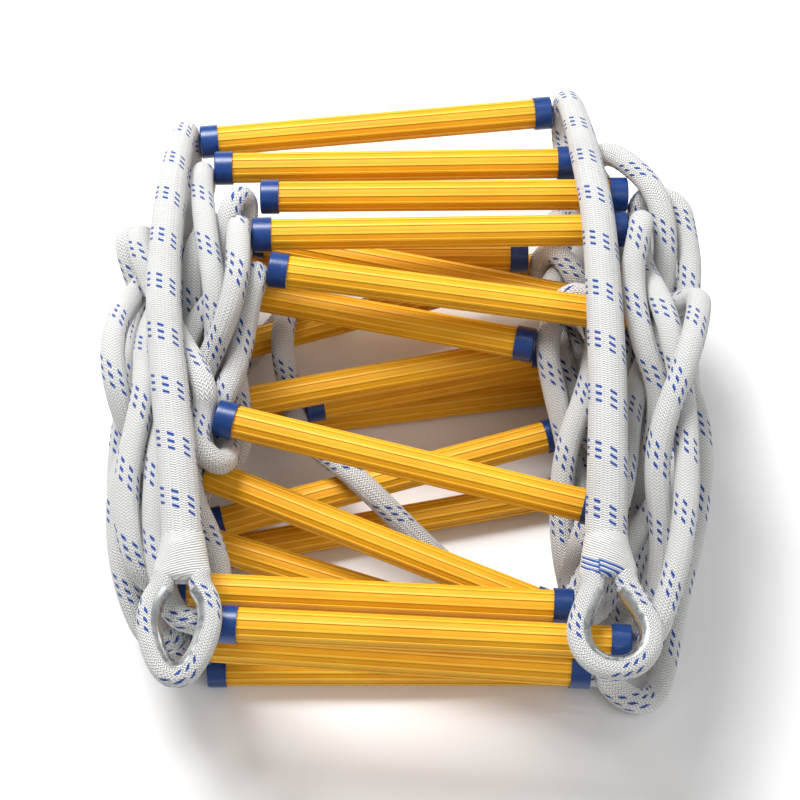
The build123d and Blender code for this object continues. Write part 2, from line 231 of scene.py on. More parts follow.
def smoothing(run):
    """Matrix from a route's points to points on its smooth line: two for each point."""
    count = len(run) + 1
    weights = np.zeros((2 * count - 1, count))
    weights[0, 0] = weights[-1, -1] = 1
    for i in range(1, count - 1):
        before, after = min(run[i - 1], run[i]) / run[i - 1:i + 1] / 8
        weights[2 * i, i - 1:i + 2] = (before, 1 - before - after, after)
    for i in range(count - 1):
        weights[2 * i + 1, i:i + 2] = 1 / 2
    return weights


def eye_outline(side):
    """Corners of the rope's line round a thimble, from one leg at the throat to the other."""
    half = EYE_OUTLINE[side]
    mirrored = [(-u, v) for u, v in half[::-1]]
    heading = math.radians(EYE_HEADING[side])
    along = Y_AXIS * -math.cos(heading) + X_AXIS * math.sin(heading)
    out = X_AXIS * math.cos(heading) + Y_AXIS * math.sin(heading)
    throat = np.array(TAILS[side][-1], float) + along * THROAT_LENGTH
    throat[2] = EYE_Z
    return [throat + out * u + along * v for u, v in half + mirrored]


def settled_route(side, rounds=1600):
    """Lets the strands sink a little and push each other, the rungs, the tail and the eye clear."""
    tail = TAILS[side] + eye_outline(side)
    points, pinned = laid_route(side)
    count = len(points)
    loose = np.ones((count, 1))
    loose[pinned] = 0
    loose[1] = 0
    run = np.linalg.norm(np.diff(points, axis=0), axis=1)
    for a, b in zip(pinned[:-1], pinned[1:]):
        span = run[a:b]
        short = span < 30
        span[~short] *= (SPACING - span[short].sum()) / span[~short].sum()
    sharpest = np.minimum(math.radians(75), 2 * np.arctan(0.45 * np.minimum(run[1:], run[:-1]) / 18))
    chord = np.sqrt(run[1:] ** 2 + run[:-1] ** 2 + 2 * run[1:] * run[:-1] * np.cos(sharpest))
    weights = smoothing(run)
    pieces = len(weights) - 1
    strand_a, strand_b = np.triu_indices(pieces, 7)
    bars = np.vstack([CENTRES - DIRECTIONS * (RUNG_LENGTH / 2 - 6), np.array(tail[:-1], float)])
    bar_runs = np.vstack([DIRECTIONS * (RUNG_LENGTH - 12), np.diff(np.array(tail, float), axis=0)])
    radii = [CAP_D / 2] * len(RUNGS) + [TAIL_D / 2] * (len(TAILS[side]) - 1)
    radii += [(TAIL_D + THROAT_WIDTH) / 4]
    radii += [EYE_ROPE_D / 2 + THIMBLE_WALL] * (len(tail) - len(TAILS[side]) - 1)
    reach = np.array(radii) + ROPE_D / 2 + PASSING_GAP
    floor = np.full(count, ROPE_D / 2 + FLOOR_GAP)
    floor[-3:] += WHIPPING_WALL + WHIPPING_CLEARANCE
    piece, bar = np.divmod(np.arange(pieces * len(bars)), len(bars))
    own = np.zeros(len(piece), bool)
    for k, p in enumerate(pinned):
        own |= (bar == k) & (piece >= 2 * p - 4) & (piece < 2 * p + 4)
    own |= (bar == len(RUNGS)) & (piece < 6)
    piece, bar = piece[~own], bar[~own]
    points = points + np.random.default_rng(SEED).normal(0, 0.5, points.shape) * loose
    apart = ROPE_D + 1.2
    for step in range(rounds):
        if step < rounds * 0.4:
            points[:, 2] -= 0.12 * loose[:, 0]
            bend = (points[2:] * run[:-1, None] + points[:-2] * run[1:, None]) / (run[1:] + run[:-1])[:, None]
            points[1:-1] += 0.05 * (bend - points[1:-1]) * loose[1:-1]
        give = 0.5 if step < rounds * 0.6 else 0.12
        d = np.diff(points, axis=0)
        move = d * (1 - run[:, None] / np.linalg.norm(d, axis=1)[:, None]) * give
        points[:-1] += move * loose[:-1]
        points[1:] -= move * loose[1:]
        d = points[2:] - points[:-2]
        length = np.linalg.norm(d, axis=1)
        move = d * (np.minimum(0, length - chord) / length * 0.5)[:, None]
        points[:-2] += move * loose[:-2]
        points[2:] -= move * loose[2:]
        line = weights @ points
        d = np.diff(line, axis=0)
        if step % 20 == 0:
            middle = line[:-1] + d / 2
            half = np.linalg.norm(d, axis=1) / 2
            gap = np.linalg.norm(middle[strand_a] - middle[strand_b], axis=1)
            near = gap < half[strand_a] + half[strand_b] + apart + 14
            a, b = strand_a[near], strand_b[near]
            _, _, gap = closest(line[piece], d[piece], bars[bar], bar_runs[bar])
            near = np.linalg.norm(gap, axis=1) < reach[bar] + 14
            pc, br = piece[near], bar[near]
        push = np.zeros_like(line)
        s, t, gap = closest(line[a], d[a], line[b], d[b])
        dist = np.linalg.norm(gap, axis=1)[:, None]
        gap = gap / dist * np.maximum(0, apart - dist) / 2
        np.add.at(push, a, gap * (1 - s))
        np.add.at(push, a + 1, gap * s)
        np.add.at(push, b, -gap * (1 - t))
        np.add.at(push, b + 1, -gap * t)
        s, t, gap = closest(line[pc], d[pc], bars[br], bar_runs[br])
        dist = np.linalg.norm(gap, axis=1)[:, None]
        gap = gap / dist * np.maximum(0, reach[br][:, None] - dist)
        np.add.at(push, pc, gap * (1 - s))
        np.add.at(push, pc + 1, gap * s)
        points += (weights.T @ push) * loose
        for k, p in enumerate(pinned):
            for q in (p - 2, p - 1, p + 1, p + 2):
                if 0 <= q < count:
                    outward = (points[q] - points[p]) @ DIRECTIONS[k] * side
                    offset = points[q] - points[p] - outward * side * DIRECTIONS[k]
                    if outward < 0 and (abs(q - p) == 1 or np.linalg.norm(offset) < 32):
                        points[q] -= outward * side * DIRECTIONS[k] * loose[q]
        points[:, 2] = np.maximum(points[:, 2], floor)
        points[:, 0] -= side * GATHER * np.maximum(0, points[:, 0] * side - HALF_WIDTH[side])
    return points, pinned


# ---- Camera -------------------------------------------------------------------------------
camera = bpy.data.objects.new("camera", bpy.data.cameras.new("camera"))
bpy.context.scene.collection.objects.link(camera)
camera.location = (-0.013, -0.747, 1.466)
camera.rotation_euler = (math.radians(28), 0, 0)
camera.data.angle = math.radians(23.4)
bpy.context.scene.camera = camera


# ---- Rope lines ---------------------------------------------------------------------------
MM = 0.001
SPLINE_POINTS = 24        # that the NURBS curve is read at between two of its control points
NEARLY_UP = (0.03, 0.02, 1.0)    # no rope starts along this


def metres(points):
    """Points in millimetres as plain tuples in metres."""
    return [tuple(float(c) * MM for c in p) for p in points]


def distances(line):
    """Distance along a line to each of its points."""
    return np.append(0, np.cumsum(np.linalg.norm(np.diff(line, axis=0), axis=1)))


def smooth_line(route, step):
    """Evenly spaced points, in metres, on the NURBS spline that a route's points control."""
    curve = bpy.data.curves.new("route", "CURVE")
    curve.dimensions = "3D"
    spline = curve.splines.new("NURBS")
    spline.points.add(len(route) - 1)
    for point, place in zip(spline.points, metres(route)):
        point.co = (*place, 1)
    spline.order_u = 3
    spline.use_endpoint_u = True
    spline.resolution_u = SPLINE_POINTS
    holder = bpy.data.objects.new("route", curve)
    mesh = bpy.data.meshes.new_from_object(holder)
    line = np.array([v.co for v in mesh.vertices], float)
    bpy.data.objects.remove(holder)
    bpy.data.curves.remove(curve)
    bpy.data.meshes.remove(mesh)
    along = distances(line)
    even = np.linspace(0, along[-1], max(3, round(along[-1] / step)))
    return np.stack([np.interp(even, along, line[:, k]) for k in range(3)], axis=1)


def frames_along(line):
    """Tangent and two untwisted directions across it at each point of a line."""
    tangent = np.gradient(line, axis=0)
    tangent /= np.linalg.norm(tangent, axis=1)[:, None]
    across = np.zeros_like(line)
    across[0] = np.cross(tangent[0], NEARLY_UP)
    across[0] /= np.linalg.norm(across[0])
    for i in range(1, len(line)):
        v = across[i - 1] - tangent[i] * (across[i - 1] @ tangent[i])
        across[i] = v / np.linalg.norm(v)
    return tangent, across, np.cross(across, tangent)


# ---- Tube meshes --------------------------------------------------------------------------
SIDES = 32
FINE_SIDES = 48
DOME_RINGS = 5
DOME_LENGTH = 0.55        # of a strand's rounded end, as a part of its radius
DOME_COVER = 0.97         # part of the quarter turn that the rings of a rounded end go through
DOME_WEAVE = 0.9          # length of braid over a rounded end, as a part of the radius
SAMPLE_STEP = 0.004       # between the points of a strand that press on another
NEAREST = 0.004           # a point nearer than this is on the strand's own line
OWN_REACH = 0.045         # a strand isn't pressed by its own line nearer than this along it


class Strand:
    """Rings of vertices round a line, kept as arrays while neighbours press them flat."""

    def __init__(self, line, radius, closed=(True, True), sides=SIDES, height=None):
        self.line = line
        self.radius = np.broadcast_to(radius, len(line)).astype(float)
        height = self.radius if height is None else height
        self.tangent, across, up = frames_along(line)
        turn = np.arange(sides) / sides * 2 * math.pi
        ring = (across[:, None] * np.cos(turn)[:, None] * self.radius[:, None, None]
                + up[:, None] * np.sin(turn)[:, None] * height[:, None, None])
        self.rings = line[:, None] + ring
        self.v = distances(line)
        self.closed = closed

    def press(self, other, own=False):
        """Flattens the rings where another strand, or another part of this one, lies against them."""
        tree = kdtree.KDTree(len(other.line))
        for i, p in enumerate(other.line):
            tree.insert(p, i)
        tree.balance()
        widest = float(other.radius.max())
        step = max(1, round(SAMPLE_STEP / max(1e-4, other.v[1])))
        for i, centre in enumerate(self.line):
            reach = float(self.radius[i]) + widest
            for _, j, gap in tree.find_range(centre, reach):
                if own and abs(self.v[i] - other.v[j]) < OWN_REACH:
                    continue
                apart = gap >= self.radius[i] + other.radius[j]
                if apart or gap < NEAREST or j % step:
                    continue
                way = (other.line[j] - centre) / gap
                limit = (gap + self.radius[i] - other.radius[j]) / 2
                over = (self.rings[i] - centre) @ way - limit
                self.rings[i] -= np.maximum(over, 0)[:, None] * way

    def clear_cylinder(self, centre, direction, half, radius):
        """Pushes the surface out of a cylinder."""
        flat = self.rings.reshape(-1, 3)
        offset = flat - centre
        along = offset @ direction
        out = offset - along[:, None] * direction
        dist = np.linalg.norm(out, axis=1)
        inside = (np.abs(along) < half) & (dist < radius)
        if not inside.any():
            return
        end_gap = half - np.abs(along)
        side_gap = radius - dist
        by_end = inside & (end_gap < side_gap)
        by_side = inside & ~by_end
        flat[by_end] += (direction * (np.sign(along) * end_gap)[:, None])[by_end]
        flat[by_side] += (out / np.maximum(dist, 1e-6)[:, None] * side_gap[:, None])[by_side]
        self.rings = flat.reshape(self.rings.shape)

    def rest_on_floor(self):
        self.rings[:, :, 2] = np.maximum(self.rings[:, :, 2], FLOOR_GAP * MM)

    def mesh_object(self, name, material):
        """The finished mesh, with U round the rope and V in metres along it."""
        rings, v = list(self.rings), list(self.v)
        for end, outward in ((0, -1), (-1, 1)):
            if not self.closed[end]:
                continue
            centre, way = self.line[end], self.tangent[end] * outward
            for k in range(1, DOME_RINGS + 1):
                turn = k / DOME_RINGS * math.pi / 2 * DOME_COVER
                ring = centre + (self.rings[end] - centre) * math.cos(turn)
                ring = ring + way * self.radius[end] * DOME_LENGTH * math.sin(turn)
                depth = outward * self.radius[end] * DOME_WEAVE * k / DOME_RINGS
                place = 0 if end == 0 else len(rings)
                rings.insert(place, ring)
                v.insert(place, self.v[end] + depth)
        return ring_mesh(name, np.array(rings), np.array(v), material, capped=self.closed)


def ring_mesh(name, rings, v, material, capped=(True, True)):
    """Mesh of quads between rings of vertices, with UVs, and a face over each capped end."""
    count, sides = rings.shape[:2]
    mesh = bpy.data.meshes.new(name)
    i, j = np.meshgrid(np.arange(count - 1), np.arange(sides), indexing="ij")
    i, j = i.ravel(), j.ravel()
    following = (j + 1) % sides
    quads = np.stack([i * sides + j, i * sides + following,
                      (i + 1) * sides + following, (i + 1) * sides + j], axis=1)
    faces = quads.tolist()
    if capped[0]:
        faces.append(list(range(sides))[::-1])
    if capped[1]:
        faces.append([(count - 1) * sides + k for k in range(sides)])
    mesh.from_pydata(rings.reshape(-1, 3).tolist(), [], faces)
    uv = np.zeros((len(mesh.loops), 2))
    corners = ((j, i), (j + 1, i), (j + 1, i + 1), (j, i + 1))
    quad_uv = np.stack([np.stack([around / sides, v[ring]], 1) for around, ring in corners], axis=1)
    uv[:len(quads) * 4] = quad_uv.reshape(-1, 2)
    at = len(quads) * 4
    for end in (0, 1):
        if capped[end]:
            turn = np.arange(sides) / sides
            uv[at:at + sides, 0] = turn[::-1] if end == 0 else turn
            uv[at:at + sides, 1] = v[0 if end == 0 else -1]
            at += sides
    layer = mesh.uv_layers.new(name="UVMap")
    layer.data.foreach_set("uv", uv.ravel())
    mesh.polygons.foreach_set("use_smooth", [True] * len(mesh.polygons))
    mesh.materials.append(material)
    mesh.update()
    obj = bpy.data.objects.new(name, mesh)
    bpy.context.scene.collection.objects.link(obj)
    return obj


# ---- Node graphs --------------------------------------------------------------------------
class Value:
    """An output socket or a number in a material's node tree, with arithmetic."""

    def __init__(self, tree, socket):
        self.tree, self.socket = tree, socket

    def node(self, operation, *others, clamp=False):
        node = self.tree.nodes.new("ShaderNodeMath")
        node.operation = operation
        node.use_clamp = clamp
        for slot, value in zip(node.inputs, (self, *others)):
            if isinstance(value, Value):
                self.tree.links.new(value.socket, slot)
            else:
                slot.default_value = value
        return Value(self.tree, node.outputs[0])

    def __add__(self, other):
        return self.node("ADD", other)

    def __sub__(self, other):
        return self.node("SUBTRACT", other)

    def __mul__(self, other):
        return self.node("MULTIPLY", other)

    def absolute(self):
        return self.node("ABSOLUTE")

    def floor(self):
        return self.node("FLOOR")

    def modulo(self, other):
        return self.node("FLOORED_MODULO", other)

    def fraction(self):
        return self.node("FRACT")

    def step(self, low, high):
        """Smooth rise from 0 at low to 1 at high."""
        node = self.tree.nodes.new("ShaderNodeMapRange")
        node.interpolation_type = "SMOOTHSTEP"
        self.tree.links.new(self.socket, node.inputs[0])
        node.inputs[1].default_value, node.inputs[2].default_value = low, high
        if low > high:
            node.inputs[1].default_value, node.inputs[2].default_value = high, low
            node.inputs[3].default_value, node.inputs[4].default_value = 1, 0
        return Value(self.tree, node.outputs[0])


def new_material(name):
    material = bpy.data.materials.new(name)
    material.use_nodes = True
    return material, material.node_tree, material.node_tree.nodes["Principled BSDF"]


def coordinates(tree, kind="Object"):
    return tree.nodes.new("ShaderNodeTexCoord").outputs[kind]


def parts(tree, vector):
    node = tree.nodes.new("ShaderNodeSeparateXYZ")
    tree.links.new(vector, node.inputs[0])
    return [Value(tree, out) for out in node.outputs]


def joined(tree, *values):
    node = tree.nodes.new("ShaderNodeCombineXYZ")
    for slot, value in zip(node.inputs, values):
        if isinstance(value, Value):
            tree.links.new(value.socket, slot)
        else:
            slot.default_value = value
    return node.outputs[0]


def noise(tree, vector, scale, detail=3.0, roughness=0.55):
    node = tree.nodes.new("ShaderNodeTexNoise")
    tree.links.new(vector, node.inputs["Vector"])
    node.inputs["Scale"].default_value = scale
    node.inputs["Detail"].default_value = detail
    node.inputs["Roughness"].default_value = roughness
    return Value(tree, node.outputs[0])


def mixed(tree, share, a, b):
    """Colour a where share is 0 and b where it is 1."""
    node = tree.nodes.new("ShaderNodeMix")
    node.data_type = "RGBA"
    tree.links.new(share.socket, node.inputs[0])
    for slot, value in ((node.inputs[6], a), (node.inputs[7], b)):
        if isinstance(value, tuple):
            slot.default_value = (*value, 1)
        else:
            tree.links.new(value, slot)
    return node.outputs[2]


def bumped(tree, shader, height, distance, strength=1.0):
    node = tree.nodes.new("ShaderNodeBump")
    node.inputs["Strength"].default_value = strength
    node.inputs["Distance"].default_value = distance
    tree.links.new(height.socket, node.inputs["Height"])
    tree.links.new(node.outputs[0], shader.inputs["Normal"])


# ---- Materials ----------------------------------------------------------------------------
WHITE_YARN = (0.92, 0.92, 0.90)
OLD_YARN = (0.76, 0.75, 0.71)
# Grey of the painted shade in the gaps between yarns; the braid also mixes its fibre mottle towards it.
GAP_SHADE_AND_MOTTLE = (0.27, 0.27, 0.27)
BLUE_YARN = (0.008, 0.090, 0.44)
# Deep blue of the painted shade on blue yarn in the gaps.
BLUE_GAP_SHADE = (0.003, 0.022, 0.15)
SPLICE_ROW = 0.0017       # between stretched yarns
BRAID_COLUMNS = 16        # plaits round the rope
TRACER_REPEAT = 24.0      # rows from one group of three blue passes to the next
TRACER_STEP = 3.0         # rows between blue passes, and between neighbouring blue columns


def rope_material(name, pitch, slope):
    """Diamond braid of white yarns with blue tracers: pitch is the length of rope from one pass of
    a yarn to the next, and slope is a pass's fall in rows per plait."""
    material, tree, shader = new_material(name)
    u, v, _ = parts(tree, coordinates(tree, "UV"))
    place = coordinates(tree)
    wander = (noise(tree, place, 60, 2) - 0.5) * 0.5
    a = u * BRAID_COLUMNS
    row = v * (1 / pitch) + wander
    tilt = ((a.fraction() - 0.5).absolute() - 0.25) * slope
    pass_at = row + tilt
    bar = (pass_at.fraction() - 0.5).absolute()
    column = ((a * 2).fraction() - 0.5).absolute()
    fibre = noise(tree, joined(tree, pass_at * 5.0, a * 1.2, (a * 2).floor() * 3.7), 1.0, 2)
    height = bar.step(0.52, 0.08) - column.step(0.25, 0.5) * 0.35 + (fibre - 0.5) * 0.35
    # Mask of painted shade: strongest in the gaps between passes, and at half strength between plaits.
    gap = bar.step(0.26, 0.48).node("MAXIMUM", column.step(0.38, 0.5) * 0.5)
    w = (a + 0.75).modulo(2.0) - 1.0
    turn_row = row - w * slope - ((a + 0.75) * 0.5).floor() * TRACER_STEP
    m = (turn_row + 0.5).modulo(TRACER_REPEAT)
    within = m.modulo(TRACER_STEP)
    dash = w.absolute().step(0.50, 0.42) * m.step(7.3, 7.2)
    dash = dash * within.step(0.0, 0.08) * within.step(1.36, 1.26)
    soil = noise(tree, place, 22, 3).step(0.45, 0.75) * 0.55
    white = mixed(tree, soil, WHITE_YARN, OLD_YARN)
    # White darkened towards grey by fibre mottle and by painted shade in the gaps; blue darkened by the same
    # painted shade.
    white = mixed(tree, (fibre * 0.22).node("MAXIMUM", gap * 0.85), white, GAP_SHADE_AND_MOTTLE)
    blue = mixed(tree, gap * 0.7, BLUE_YARN, BLUE_GAP_SHADE)
    tree.links.new(mixed(tree, dash, white, blue), shader.inputs["Base Color"])
    tree.links.new((fibre * 0.15 + 0.62).socket, shader.inputs["Roughness"])
    shader.inputs["Sheen Weight"].default_value = 0.15
    shader.inputs["Specular IOR Level"].default_value = 0.35
    bumped(tree, shader, height, 0.0009, 1.0)
    return material


def splice_material(name, slant, lines=()):
    """Stretched yarns that cross a splice on the slant. Blue ones are given as (row, u from, u to)."""
    material, tree, shader = new_material(name)
    u, v, _ = parts(tree, coordinates(tree, "UV"))
    place = coordinates(tree)
    wander = (noise(tree, place, 45, 2) - 0.5) * 1.2
    across = v * (1 / SPLICE_ROW) + u * slant + wander
    yarn = (across.fraction() - 0.5).absolute()
    fibre = noise(tree, joined(tree, across * 5.0, u * 9, 0.0), 1.0, 3)
    height = yarn.step(0.5, 0.1) + (fibre - 0.5) * 0.8
    white = mixed(tree, noise(tree, place, 40, 3).step(0.3, 0.8) * 0.5 + 0.3, WHITE_YARN, OLD_YARN)
    # Painted shade: the gaps between the stretched yarns are darkened towards grey.
    colour = mixed(tree, yarn.step(0.30, 0.5) * 0.85, white, GAP_SHADE_AND_MOTTLE)
    for row, low, high in lines:
        near = (across - row).absolute().step(0.55, 0.42)
        near = near * u.step(low, low + 0.01) * u.step(high, high - 0.01)
        colour = mixed(tree, near, colour, BLUE_YARN)
    tree.links.new(colour, shader.inputs["Base Color"])
    tree.links.new((fibre * 0.2 + 0.5).socket, shader.inputs["Roughness"])
    shader.inputs["Sheen Weight"].default_value = 0.15
    bumped(tree, shader, height, 0.0007, 0.9)
    return material


def twine_material(name):
    material, tree, shader = new_material(name)
    u, v, _ = parts(tree, coordinates(tree, "UV"))
    twist = noise(tree, joined(tree, u * 60 + v * 3000, v * 900, 0.0), 1.0, 2)
    tree.links.new(mixed(tree, twist.step(0.3, 0.7), (0.62, 0.60, 0.54), (0.80, 0.79, 0.75)),
                   shader.inputs["Base Color"])
    tree.links.new((twist * 0.2 + 0.6).socket, shader.inputs["Roughness"])
    bumped(tree, shader, twist, 0.0002, 0.7)
    return material


def tie_material():
    material, tree, shader = new_material("tie_cord")
    place = coordinates(tree)
    x, y, z = parts(tree, place)
    twist = ((x * 1200 + y * 500 + z * 500).fraction() - 0.5).absolute()
    fibre = noise(tree, place, 1500, 2)
    # Painted shade: the furrows of the twist are darkened towards grey.
    white = mixed(tree, twist.step(0.3, 0.5) * 0.6, WHITE_YARN, GAP_SHADE_AND_MOTTLE)
    tree.links.new(mixed(tree, fibre * 0.3, white, OLD_YARN), shader.inputs["Base Color"])
    tree.links.new((fibre * 0.2 + 0.6).socket, shader.inputs["Roughness"])
    bumped(tree, shader, twist, 0.0004, 0.6)
    return material


def measured(tree, place, direction):
    """Distance in a direction, from the origin, at each point of a surface."""
    node = tree.nodes.new("ShaderNodeVectorMath")
    node.operation = "DOT_PRODUCT"
    tree.links.new(place, node.inputs[0])
    node.inputs[1].default_value = direction
    return Value(tree, node.outputs["Value"])


def rung_material(name, centre, direction):
    """Golden yellow extruded plastic: painted highlight along the rib crests, painted shade along their
    feet, with fine cross marks, long scuffs and a slightly uneven colour."""
    material, tree, shader = new_material(name)
    place = coordinates(tree)
    s = measured(tree, place, list(direction))
    across = np.cross((0, 0, 1), direction)
    across /= np.linalg.norm(across)
    upward = np.cross(direction, across)
    beside = measured(tree, place, list(across)) - float(across @ centre)
    above = measured(tree, place, list(upward)) - float(upward @ centre)
    rib = (above.node("ARCTAN2", beside) * (RIB_COUNT / (2 * math.pi)) + 0.5).modulo(1.0)
    from_rib = (rib - 0.5).absolute()
    stretched = tree.nodes.new("ShaderNodeVectorMath")
    stretched.operation = "MULTIPLY_ADD"
    tree.links.new(joined(tree, s, s, s), stretched.inputs[0])
    stretched.inputs[1].default_value = [-0.94 * c for c in direction]
    tree.links.new(place, stretched.inputs[2])
    along = stretched.outputs[0]
    ring = noise(tree, joined(tree, s * 900, 0.0, 0.0), 1.0, 2)
    grain = noise(tree, place, 900, 2)
    streak = noise(tree, along, 700, 3)
    scuff = noise(tree, along, 240, 4, 0.7).step(0.60, 0.72)
    cloud = noise(tree, place, 14, 3)
    colour = mixed(tree, cloud.step(0.3, 0.7), (0.82, 0.41, 0.006), (0.74, 0.33, 0.004))
    # Painted shade along the feet of the ribs, beside the grooves.
    rib_foot_shade = from_rib.step(0.12, 0.16) * from_rib.step(0.32, 0.18) * 0.35
    colour = mixed(tree, rib_foot_shade, colour, (0.52, 0.18, 0.003))
    # Painted highlight: the crest of each rib is made paler, varied by the streaks.
    rib_crest_highlight = from_rib.step(0.17, 0.11) * (streak * 0.6 + 0.4)
    colour = mixed(tree, rib_crest_highlight, colour, (0.93, 0.59, 0.06))
    colour = mixed(tree, streak.step(0.35, 0.8) * 0.14, colour, (0.62, 0.28, 0.005))
    colour = mixed(tree, scuff * 0.20, colour, (0.94, 0.66, 0.12))
    tree.links.new(colour, shader.inputs["Base Color"])
    tree.links.new((streak * 0.20 + scuff * 0.15 + 0.44).socket, shader.inputs["Roughness"])
    shader.inputs["Specular IOR Level"].default_value = 0.36
    shader.inputs["Subsurface Weight"].default_value = 0.06
    shader.inputs["Subsurface Radius"].default_value = (0.004, 0.002, 0.0005)
    shader.inputs["Subsurface Scale"].default_value = 0.5
    bumped(tree, shader, ring * 0.8 + grain * 0.5 + streak * 0.6, 0.00018, 0.8)
    return material


def cap_material():
    """Blue moulded plastic, slightly glossy, with scuffed rims."""
    material, tree, shader = new_material("cap_plastic")
    place = coordinates(tree)
    grain = noise(tree, place, 1400, 2)
    cloud = noise(tree, place, 40, 3)
    scuff = noise(tree, place, 320, 5, 0.7).step(0.58, 0.70)
    colour = mixed(tree, cloud.step(0.3, 0.7), (0.002, 0.030, 0.15), (0.004, 0.042, 0.20))
    colour = mixed(tree, scuff * 0.22, colour, (0.10, 0.20, 0.48))
    tree.links.new(colour, shader.inputs["Base Color"])
    tree.links.new((cloud * 0.10 + scuff * 0.22 + 0.24).socket, shader.inputs["Roughness"])
    shader.inputs["Specular IOR Level"].default_value = 0.55
    bumped(tree, shader, grain * 0.4 + cloud, 0.00020, 0.5)
    return material


def galvanised_material():
    """Zinc coat: dull spangle, bright worn spots and fine pits."""
    material, tree, shader = new_material("galvanised_steel")
    place = coordinates(tree)
    cells = tree.nodes.new("ShaderNodeTexVoronoi")
    cells.inputs["Scale"].default_value = 260
    tree.links.new(place, cells.inputs["Vector"])
    spangle = parts(tree, cells.outputs["Color"])[0]
    cloud = noise(tree, place, 90, 4)
    pits = noise(tree, place, 900, 3)
    colour = mixed(tree, spangle * 0.6, (0.50, 0.52, 0.52), (0.78, 0.80, 0.80))
    colour = mixed(tree, cloud.step(0.5, 0.8) * 0.5, colour, (0.34, 0.34, 0.34))
    tree.links.new(colour, shader.inputs["Base Color"])
    shader.inputs["Metallic"].default_value = 1.0
    tree.links.new((cloud * 0.25 + spangle * 0.12 + 0.14).socket, shader.inputs["Roughness"])
    bumped(tree, shader, cloud + pits * 0.3, 0.0002, 0.4)
    return material


def paint(node, material):
    """Gives a CAD node's object a material."""
    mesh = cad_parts[node].data
    mesh.materials.clear()
    mesh.materials.append(material)


slim_braid = rope_material("rope_braid", 0.00235, 1.7)
wide_braid = rope_material("tail_braid", 0.00190, 1.5)
twine = twine_material("whipping_twine")
cap_blue = cap_material()
zinc = galvanised_material()
BLUE_LINES = [(8, 0.03, 0.2), (10, 0.03, 0.2), (12, 0.03, 0.2),
              (7, 0.18, 0.4), (9, 0.18, 0.4), (11, 0.18, 0.4)]
SPLICE = {LEFT: splice_material("left_splice", 18.0),
          RIGHT: splice_material("right_splice", -30.0, BLUE_LINES)}

for k in range(len(RUNGS)):
    plastic = rung_material(f"rung_{k + 1:02d}_plastic", CENTRES[k] * MM, DIRECTIONS[k])
    paint(f"rung_{k + 1:02d}_tube", plastic)
    paint(f"rung_{k + 1:02d}_end_caps", cap_blue)
paint("rung_tie_cords", tie_material())

# ---- Ropes --------------------------------------------------------------------------------
RING_STEP = 0.0026        # between the rings of a side rope
FINE_STEP = 0.0015        # of a tail and of the rope round an eye
THROAT_STEP = 0.001
TWINE_STEP = 0.0002
NAMES = {LEFT: "left", RIGHT: "right"}
# A tail's radii in millimetres, after the distances along it in metres that they are given at.
TAIL_RADII = ([0, 0.050, 0.110, 0.200, 0.330, 0.470], [9.5, 10.6, 12.4, 13.4, 14.6, 15.6])
EYE_RADIUS = 8.6 * MM
THROAT_LIP = {LEFT: 6.0, RIGHT: 4.0}    # how far a throat reaches over the legs of its eye
THROAT_LEAD = 8           # how far back over the tail a throat starts
# Half of a throat's width and height in millimetres, at these parts of its length.
THROAT_STATIONS = [0, 0.25, 0.6, 0.82, 0.93, 0.97, 1]
THROAT_HALF_WIDTHS = [15.8, 17.2, 19.6, 21.2, 20.6, 19.2, 16.0]
THROAT_HALF_HEIGHTS = [15.8, 16.2, 13.6, 11.2, 9.4, 7.4, 4.0]
BEND_BELOW = 0.005        # this far below a tail's hinge; the point it gives is not used, and the tail is not bent
BEND_ABOVE = 0.030        # this far above the hinge; the point it gives is not used either
TOUCH = 0.0001            # left between a strand and a rung
TAIL_ROOT = 0.06          # length at the root of a tail that doesn't press on the side rope
TWINE_PITCH = 0.0014
TWINE_BASE = 0.0004       # from the rope to the bottom of the twine's furrows
TWINE_HEIGHT = 0.0008
routes, ropes, tails, eyes = {}, {}, {}, {}
for side in (LEFT, RIGHT):
    routes[side], _ = settled_route(side)
    hinge = contact_points(side)[0]
    ropes[side] = Strand(smooth_line(routes[side], RING_STEP), ROPE_D / 2 * MM)
    tail_line = smooth_line([routes[side][0], hinge, *TAILS[side]], FINE_STEP)
    radii = np.interp(distances(tail_line), TAIL_RADII[0], np.array(TAIL_RADII[1]) * MM)
    tails[side] = Strand(tail_line, radii)
    eyes[side] = Strand(smooth_line(eye_outline(side), FINE_STEP), EYE_RADIUS)


def clear_of_rungs(strand):
    for centre, direction in zip(CENTRES * MM, DIRECTIONS):
        half = (RUNG_LENGTH / 2 - CAP_LENGTH) * MM
        strand.clear_cylinder(centre, direction, half, TUBE_D / 2 * MM + TOUCH)
        for end in (-1, 1):
            middle = centre + direction * end * (RUNG_LENGTH - CAP_LENGTH) / 2 * MM
            half = CAP_LENGTH / 2 * MM + TOUCH
            strand.clear_cylinder(middle, direction, half, CAP_D / 2 * MM + TOUCH)


for side in (LEFT, RIGHT):
    rope, tail = ropes[side], tails[side]
    rope.press(rope, own=True)
    upper = Strand(tail.line[tail.v > TAIL_ROOT], tail.radius[tail.v > TAIL_ROOT])
    rope.press(upper)
    rope.press(eyes[side])
    clear_of_rungs(rope)
    rope.rest_on_floor()
    tail.press(rope)
    clear_of_rungs(tail)

